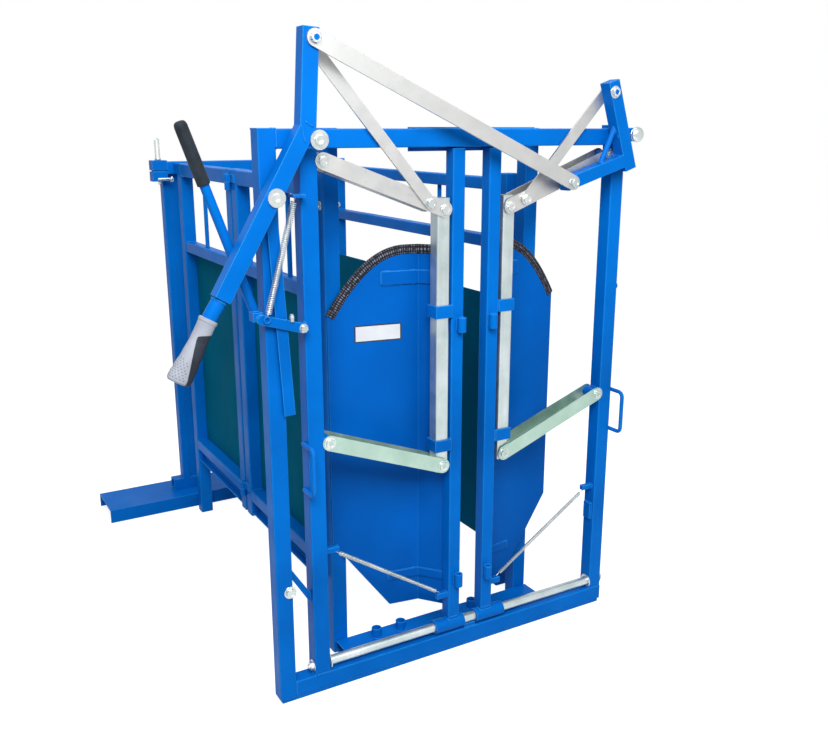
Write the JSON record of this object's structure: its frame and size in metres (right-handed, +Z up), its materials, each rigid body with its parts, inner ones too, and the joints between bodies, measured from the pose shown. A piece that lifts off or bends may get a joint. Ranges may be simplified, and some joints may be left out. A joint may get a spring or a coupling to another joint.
{
  "type": "sheep handling cage",
  "caption": "Walk-in sheep handling cage with a linked two-leaf head yoke, hand lever, sprung latch, shoulder panels and a side door.",
  "frame": {"origin": "middle of the underside of the front portal's skid, on the floor, halfway between the two portal posts", "axes": "+X to the right seen from the animal's exit, across the portal; +Y to the rear, along the cage; +Z up"},
  "size_m": [1.1467, 1.4024, 1.432],
  "materials": {
    "blue_paint": "gloss",
    "zinc_plate": "satin",
    "black_rubber": "matte",
    "black_foam": "matte",
    "grey_grip": "matte"
  },
  "bodies": {
    "frame": {"top_beam": "blue_paint", "bottom_rail": "blue_paint", "outer_leg": "blue_paint", "left_post": "blue_paint", "right_post": "blue_paint", "leaf_rail_tube": "zinc_plate", "left_handle": "blue_paint", "right_handle": "blue_paint", "lever_pivot_bolt": "zinc_plate", "crank_pivot_bolt": "zinc_plate", "latch_spring": "zinc_plate", "left_leaf_spring": "zinc_plate", "right_leaf_spring": "zinc_plate", "front_sill": "blue_paint", "front_left_post": "blue_paint", "front_right_post": "blue_paint", "far_front_post": "blue_paint", "far_rear_post": "blue_paint", "far_top_rail": "blue_paint", "far_mid_rail": "blue_paint", "far_stub_rail": "blue_paint", "far_sheet": "blue_paint", "rear_top_beam": "blue_paint", "base_channel": "blue_paint", "rear_left_tubes": "blue_paint", "connector_block": "blue_paint", "near_rear_post": "blue_paint", "near_mid_post": "blue_paint", "near_top_rail": "blue_paint", "near_sheet_rail": "blue_paint", "near_sill": "blue_paint", "near_sheet": "blue_paint"},
    "side_door": {"door_rear_post": "blue_paint", "door_front_post": "blue_paint", "door_top_rail": "blue_paint", "door_sheet_rail": "blue_paint", "door_sill": "blue_paint", "door_sheet": "blue_paint"},
    "left_yoke_leaf": {"left_leaf": "blue_paint", "left_shoulder_panel": "blue_paint", "left_panel_trim": "black_rubber"},
    "right_yoke_leaf": {"right_leaf": "blue_paint", "right_shoulder_panel": "blue_paint", "right_panel_trim": "black_rubber"},
    "left_slide_bar": {"left_bar": "zinc_plate"},
    "right_slide_bar": {"right_bar": "zinc_plate"},
    "left_upper_link": {"left_upper_channel": "zinc_plate"},
    "right_upper_link": {"right_upper_channel": "zinc_plate"},
    "left_lower_link": {"left_lower_channel": "zinc_plate"},
    "right_lower_link": {"right_lower_channel": "zinc_plate"},
    "long_cross_link": {"long_link": "zinc_plate"},
    "left_push": {"left_push_link": "zinc_plate"},
    "right_push": {"right_push_link": "zinc_plate"},
    "hand_lever": {"lever": "blue_paint", "lever_grip": "grey_grip"},
    "right_crank": {"crank": "blue_paint"},
    "release_latch": {"latch_arm": "blue_paint", "release_grip": "black_foam"},
    "lever_lock_bar": {"lock_bar": "blue_paint"},
    "width_pin": {"drop_pin": "zinc_plate"}
  },
  "joints": [
    {"name": "lever_turn", "type": "hinge", "parent": "frame", "child": "hand_lever", "pos_m": [-0.397, 0, 1.2268], "axis": [0, 1, 0], "range_deg": [0, 41.5]},
    {"name": "long_link_turn", "type": "hinge", "parent": "hand_lever", "child": "long_cross_link", "pos_m": [-0.4012, 0, 1.4115], "axis": [0, -1, 0], "range_deg": [0, 37.3]},
    {"name": "left_push_turn", "type": "hinge", "parent": "hand_lever", "child": "left_push", "pos_m": [-0.4012, 0, 1.4115], "axis": [0, -1, 0], "range_deg": [0, 3]},
    {"name": "lock_bar_turn", "type": "hinge", "parent": "hand_lever", "child": "lever_lock_bar", "pos_m": [-0.4881, 0, 1.1203], "axis": [0, -1, 0], "range_deg": [0, 48.9]},
    {"name": "crank_turn", "type": "hinge", "parent": "frame", "child": "right_crank", "pos_m": [0.4165, 0, 1.234], "axis": [0, -1, 0], "range_deg": [0, 36.9]},
    {"name": "right_push_turn", "type": "hinge", "parent": "right_crank", "child": "right_push", "pos_m": [0.3436, 0, 1.328], "axis": [0, 1, 0], "range_deg": [0, 1.4]},
    {"name": "left_upper_turn", "type": "hinge", "parent": "frame", "child": "left_upper_link", "pos_m": [-0.37202, 0, 1.186], "axis": [0, 1, 0], "range_deg": [0, 44.5]},
    {"name": "right_upper_turn", "type": "hinge", "parent": "frame", "child": "right_upper_link", "pos_m": [0.37202, 0, 1.186], "axis": [0, -1, 0], "range_deg": [0, 44.5]},
    {"name": "left_lower_turn", "type": "hinge", "parent": "frame", "child": "left_lower_link", "pos_m": [-0.37202, 0, 0.597], "axis": [0, 1, 0], "range_deg": [0, 44.5]},
    {"name": "right_lower_turn", "type": "hinge", "parent": "frame", "child": "right_lower_link", "pos_m": [0.37202, 0, 0.597], "axis": [0, -1, 0], "range_deg": [0, 44.5]},
    {"name": "left_leaf_slide", "type": "slide", "parent": "frame", "child": "left_yoke_leaf", "axis": [-1, 0, 0], "range_m": [0, 0.157], "deforming": ["left_leaf_spring"]},
    {"name": "right_leaf_slide", "type": "slide", "parent": "frame", "child": "right_yoke_leaf", "axis": [1, 0, 0], "range_m": [0, 0.157], "deforming": ["right_leaf_spring"]},
    {"name": "left_bar_slide", "type": "slide", "parent": "left_yoke_leaf", "child": "left_slide_bar", "axis": [0, 0, -1], "range_m": [0, 0.17]},
    {"name": "right_bar_slide", "type": "slide", "parent": "right_yoke_leaf", "child": "right_slide_bar", "axis": [0, 0, -1], "range_m": [0, 0.17]},
    {"name": "latch_turn", "type": "hinge", "parent": "frame", "child": "release_latch", "pos_m": [-0.43, 0, 0.857], "axis": [0, -1, 0], "range_deg": [0, 10], "stiffness_Nm_per_rad": 8, "springref_deg": -20.05, "deforming": ["latch_spring"]},
    {"name": "width_pin_slide", "type": "slide", "parent": "frame", "child": "width_pin", "axis": [0, 0, 1], "range_m": [0, 0.06]},
    {"name": "side_door_turn", "type": "hinge", "parent": "frame", "child": "side_door", "pos_m": [-0.34505, 0.643, 0.232], "axis": [0, 0, -1], "range_deg": [0, 100]}
  ],
  "couplings": [
    {"joint": "long_link_turn", "follows": "lever_turn", "ratio": 0.8961},
    {"joint": "left_push_turn", "follows": "lever_turn", "ratio": 0.07},
    {"joint": "lock_bar_turn", "follows": "lever_turn", "ratio": 1.1754},
    {"joint": "crank_turn", "follows": "lever_turn", "ratio": 0.8874},
    {"joint": "right_push_turn", "follows": "lever_turn", "ratio": 0.0308},
    {"joint": "left_upper_turn", "follows": "lever_turn", "ratio": 1.0711},
    {"joint": "right_upper_turn", "follows": "lever_turn", "ratio": 1.0711},
    {"joint": "left_lower_turn", "follows": "lever_turn", "ratio": 1.0711},
    {"joint": "right_lower_turn", "follows": "lever_turn", "ratio": 1.0711},
    {"joint": "left_leaf_slide", "follows": "lever_turn", "m_per_rad": 0.21604},
    {"joint": "right_leaf_slide", "follows": "lever_turn", "m_per_rad": 0.21604},
    {"joint": "left_bar_slide", "follows": "lever_turn", "m_per_rad": 0.23376},
    {"joint": "right_bar_slide", "follows": "lever_turn", "m_per_rad": 0.23376}
  ]
}
